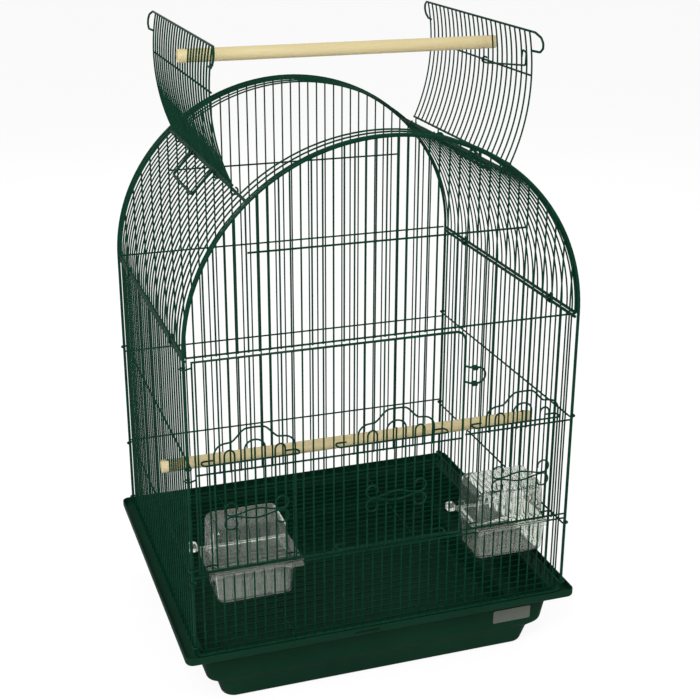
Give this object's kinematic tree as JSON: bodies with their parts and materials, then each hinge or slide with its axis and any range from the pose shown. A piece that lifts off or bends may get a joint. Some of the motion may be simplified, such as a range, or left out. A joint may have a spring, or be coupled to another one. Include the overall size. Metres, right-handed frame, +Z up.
{
  "type": "bird cage",
  "caption": "Wire bird cage on a stepped plastic tub, with a vaulted roof that opens in two flaps, a hinged front door, sliding feeder doors and wooden perches.",
  "frame": {"origin": "middle of the underside of the tub's feet, at the centre of the bounding box's bottom", "axes": "+Z up, the front with the doors faces -Y, +X to the right seen from the front"},
  "size_m": [0.488, 0.423, 0.7566],
  "materials": {
    "frame_wire": "semi-gloss dark green coating",
    "thin_wire": "semi-gloss dark green coating",
    "tub_plastic": "satin dark green",
    "plate_plastic": "satin grey",
    "perch_wood": "bare pale wood",
    "clear_plastic": "clear moulded"
  },
  "bodies": {
    "tub": {"base_tub": "tub_plastic", "name_plate": "plate_plastic"},
    "floor_grate": {"floor_grate": "thin_wire", "grate_rod_1": "thin_wire", "grate_rod_2": "thin_wire"},
    "cage_frame": {"front_panel": "frame_wire", "back_panel": "frame_wire", "roof_grille": "thin_wire", "front_rod_shoulder": "thin_wire", "front_rod_low": "thin_wire", "front_rod_middle": "thin_wire", "front_rod_sill": "thin_wire", "back_rod_shoulder": "thin_wire", "back_rod_middle": "thin_wire", "back_rod_low": "thin_wire", "front_stiffener": "thin_wire", "back_stiffener": "thin_wire", "side_panel_left": "thin_wire", "side_rod_low_left": "thin_wire", "side_rod_middle_left": "thin_wire", "side_rod_high_left": "thin_wire", "side_panel_right": "thin_wire", "side_rod_low_right": "thin_wire", "side_rod_middle_right": "thin_wire", "side_rod_high_right": "thin_wire", "roof_clip_1": "thin_wire", "roof_clip_2": "thin_wire", "roof_clip_3": "thin_wire", "roof_clip_4": "thin_wire", "inner_perch": "perch_wood", "feeder_cup_left": "clear_plastic", "feeder_cup_right": "clear_plastic"},
    "main_door": {"main_door": "thin_wire", "main_door_rod": "thin_wire"},
    "sliding_door_left": {"sliding_door_left": "thin_wire", "door_scroll_left": "thin_wire"},
    "sliding_door_centre": {"sliding_door_centre": "thin_wire", "door_scroll_centre": "thin_wire"},
    "sliding_door_right": {"sliding_door_right": "thin_wire", "door_scroll_right": "thin_wire"},
    "roof_flap_left": {"roof_flap_left": "thin_wire", "flap_rod_left": "thin_wire"},
    "roof_flap_right": {"roof_flap_right": "thin_wire", "flap_rod_right": "thin_wire"},
    "flap_hook": {"flap_hook": "thin_wire"},
    "top_perch": {"top_perch": "perch_wood"},
    "carry_handle_left": {"carry_handle_left": "frame_wire"},
    "carry_handle_right": {"carry_handle_right": "frame_wire"},
    "feeder_hood_left": {"feeder_hood_left": "clear_plastic"},
    "feeder_hood_right": {"feeder_hood_right": "clear_plastic"}
  },
  "joints": [
    {"name": "cage_lift", "type": "slide", "parent": "tub", "child": "cage_frame", "axis": [0, 0, 1], "range_m": [0, 0.08]},
    {"name": "grate_lift", "type": "slide", "parent": "tub", "child": "floor_grate", "axis": [0, 0, 1], "range_m": [0, 0.03]},
    {"name": "main_door_hinge", "type": "hinge", "parent": "cage_frame", "child": "main_door", "pos_m": [-0.23, -0.198, 0.31], "axis": [0, 0, -1], "range_deg": [0, 110]},
    {"name": "sliding_door_left_lift", "type": "slide", "parent": "main_door", "child": "sliding_door_left", "axis": [0, 0, 1], "range_m": [0, 0.112]},
    {"name": "sliding_door_centre_lift", "type": "slide", "parent": "main_door", "child": "sliding_door_centre", "axis": [0, 0, 1], "range_m": [0, 0.112]},
    {"name": "sliding_door_right_lift", "type": "slide", "parent": "cage_frame", "child": "sliding_door_right", "axis": [0, 0, 1], "range_m": [0, 0.112]},
    {"name": "roof_flap_left_hinge", "type": "hinge", "parent": "cage_frame", "child": "roof_flap_left", "pos_m": [-0.156, 0, 0.60223], "axis": [0, -1, 0], "range_deg": [-74.5, 0]},
    {"name": "roof_flap_right_hinge", "type": "hinge", "parent": "cage_frame", "child": "roof_flap_right", "pos_m": [0.156, 0, 0.60223], "axis": [0, 1, 0], "range_deg": [-74.5, 0]},
    {"name": "top_perch_lift", "type": "slide", "parent": "cage_frame", "child": "top_perch", "axis": [0, 0, 1], "range_m": [0, 0.287]},
    {"name": "flap_hook_swing", "type": "hinge", "parent": "roof_flap_right", "child": "flap_hook", "pos_m": [0.17891, 0, 0.70776], "axis": [0, -1, 0], "range_deg": [0, 20]},
    {"name": "carry_handle_left_hinge", "type": "hinge", "parent": "cage_frame", "child": "carry_handle_left", "pos_m": [-0.156, 0, 0.60223], "axis": [0, 1, 0], "range_deg": [0, 45]},
    {"name": "carry_handle_right_hinge", "type": "hinge", "parent": "cage_frame", "child": "carry_handle_right", "pos_m": [0.156, 0, 0.60223], "axis": [0, -1, 0], "range_deg": [0, 45]},
    {"name": "feeder_hood_left_lift", "type": "slide", "parent": "cage_frame", "child": "feeder_hood_left", "axis": [0, 0, 1], "range_m": [0, 0.03]},
    {"name": "feeder_hood_right_lift", "type": "slide", "parent": "cage_frame", "child": "feeder_hood_right", "axis": [0, 0, 1], "range_m": [0, 0.03]}
  ],
  "couplings": [
    {"joint": "roof_flap_right_hinge", "follows": "roof_flap_left_hinge", "ratio": 1},
    {"joint": "top_perch_lift", "follows": "roof_flap_left_hinge", "m_per_rad": -0.22}
  ]
}
